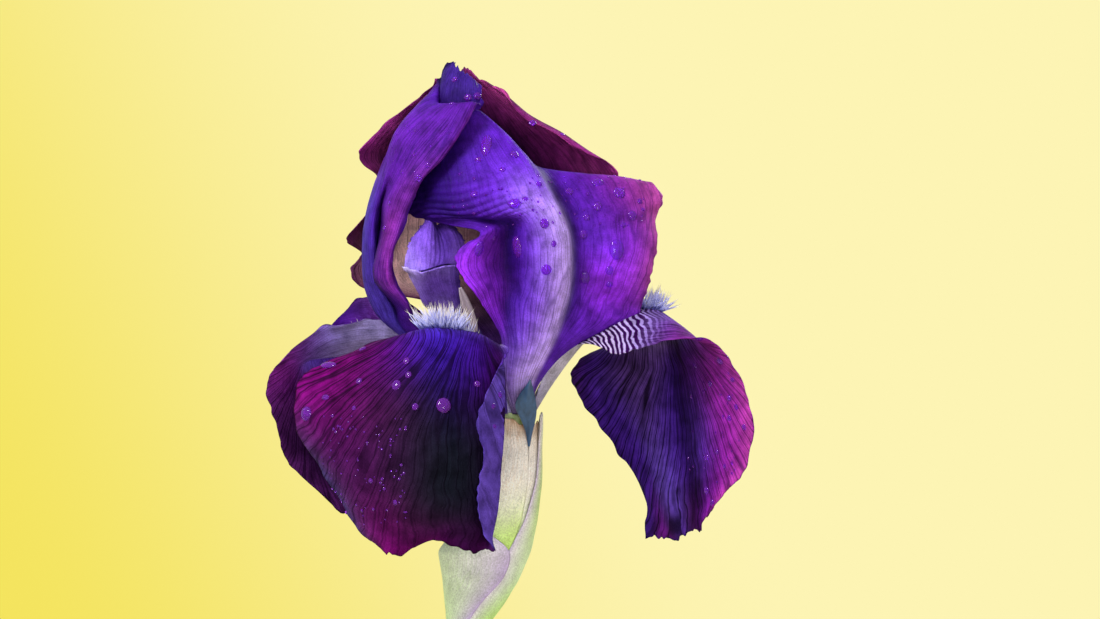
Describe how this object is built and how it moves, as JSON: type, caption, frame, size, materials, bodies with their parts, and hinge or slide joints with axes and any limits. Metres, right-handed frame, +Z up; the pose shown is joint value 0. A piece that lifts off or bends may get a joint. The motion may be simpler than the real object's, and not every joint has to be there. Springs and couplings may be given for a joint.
{
  "type": "bearded iris in a bud vase",
  "caption": "Cut bearded iris in a plain bud vase: domed upright standards over arching, hanging falls with beards, a papery spathe and a leaning green stem.",
  "frame": {"origin": "centre of the vase's flat underside", "axes": "+Z up along the vase's axis, -Y towards the side that the flower's open front faces, +X towards the right fall"},
  "size_m": [0.1314, 0.0907, 0.3684],
  "materials": {
    "vase_glaze": "smooth pale celadon glaze",
    "stem_green": "waxy green plant stem",
    "spathe_papery": "dry papery sheath, brown-streaked above and green below",
    "spathe_green": "sage green bract with violet margins",
    "bud_blue_black": "dark velvety bud",
    "fall_violet": "near-black velvet petal, magenta at its left and blue by its beard",
    "fall_plum": "dark plum petal, grey underneath",
    "fall_magenta": "magenta petal with violet veins",
    "standard_lavender": "lavender petal with fine violet veins",
    "standard_maroon": "maroon violet petal",
    "style_violet": "soft violet petal-like strap",
    "pollen_cream": "dull cream pollen lobe and pale thread",
    "beard_white": "white hairs with yellow tips",
    "water_drops": "clear water drops"
  },
  "bodies": {
    "root": {"vase": "vase_glaze", "stem": "stem_green", "perianth_tube": "stem_green", "spathe_inner_valve": "spathe_papery", "spathe_front_valve": "spathe_green", "spathe_back_valve": "spathe_green", "bud_tip": "bud_blue_black", "fall_front": "fall_violet", "fall_left": "fall_plum", "fall_right": "fall_magenta", "standard_front": "standard_lavender", "standard_left": "standard_lavender", "standard_back": "standard_maroon", "style_arm_front": "style_violet", "style_arm_left": "style_violet", "style_arm_right": "style_violet", "filament_front": "pollen_cream", "filament_left": "pollen_cream", "filament_right": "pollen_cream", "anther_front": "pollen_cream", "anther_left": "pollen_cream", "anther_right": "pollen_cream", "beard_front": "beard_white", "beard_left": "beard_white", "beard_right": "beard_white"}
  },
  "joints": []
}
